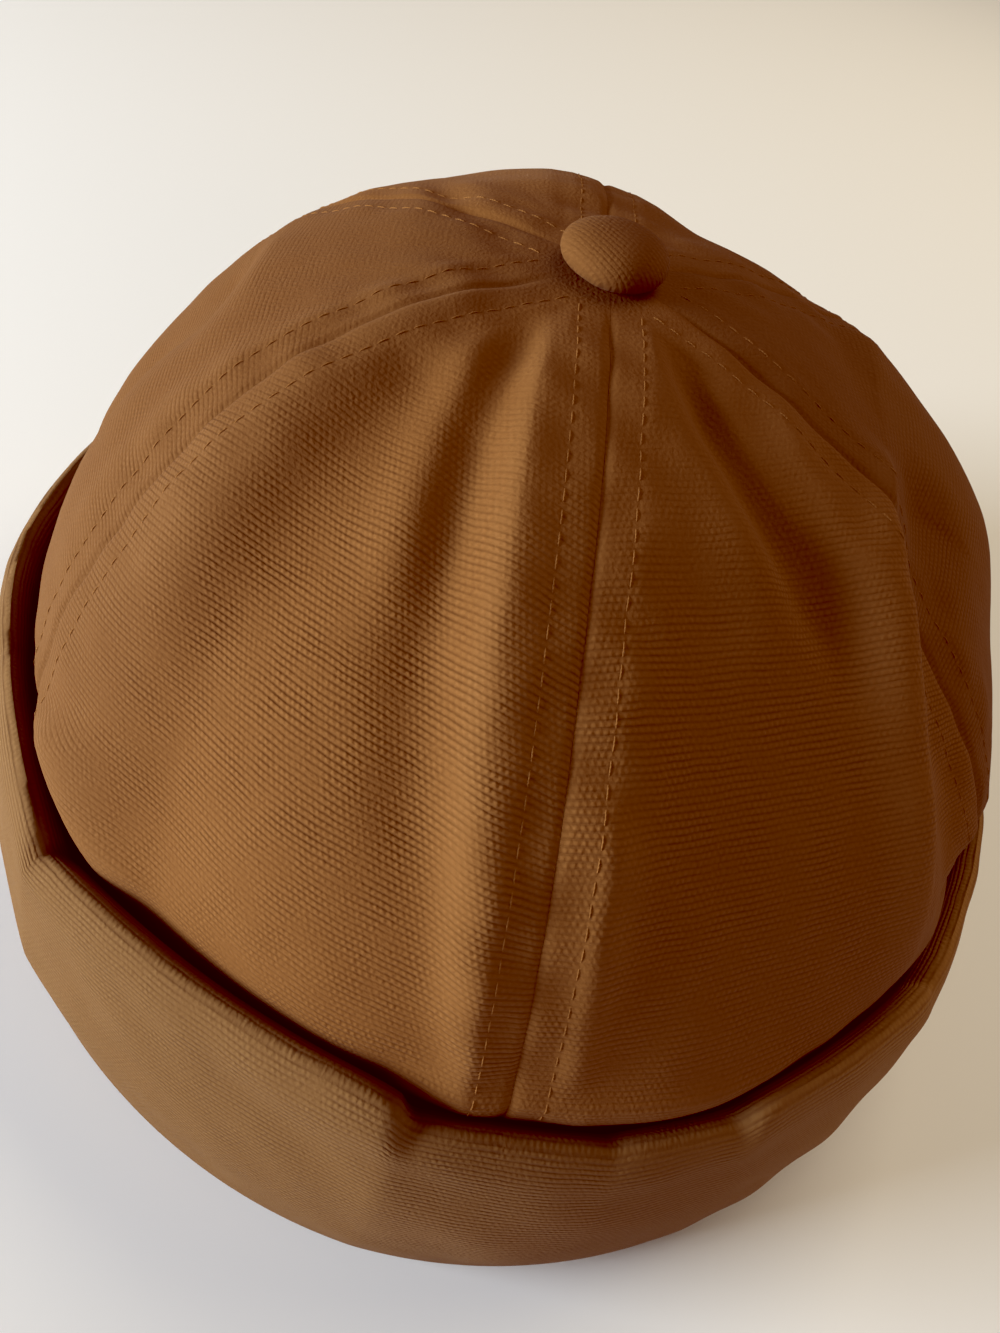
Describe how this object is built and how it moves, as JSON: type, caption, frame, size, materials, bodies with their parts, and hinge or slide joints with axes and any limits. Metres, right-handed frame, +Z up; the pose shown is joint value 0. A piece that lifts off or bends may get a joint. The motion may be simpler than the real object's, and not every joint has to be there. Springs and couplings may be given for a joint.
{
  "type": "brimless canvas cap with a turned-up cuff",
  "caption": "Soft brimless cap of sewn canvas gores with a covered button on top and a turned-up cuff, standing open side down on its folded foot.",
  "frame": {"origin": "middle of the cuff's outline on the surface that the cap stands on", "axes": "+Z up through the crown, -Y to the front seam, +X to the viewer's right"},
  "size_m": [0.2084, 0.228, 0.1268],
  "materials": {
    "crown_canvas": "matt brown cotton canvas with fine ribs across each panel",
    "cuff_canvas": "the same brown canvas, doubled and turned up",
    "button_canvas": "the same brown canvas, stretched over a domed button"
  },
  "bodies": {
    "root": {"panel_front_right": "crown_canvas", "panel_right": "crown_canvas", "panel_back_right": "crown_canvas", "panel_back_left": "crown_canvas", "panel_left": "crown_canvas", "panel_front_left": "crown_canvas", "cuff": "cuff_canvas", "button": "button_canvas"}
  },
  "joints": []
}
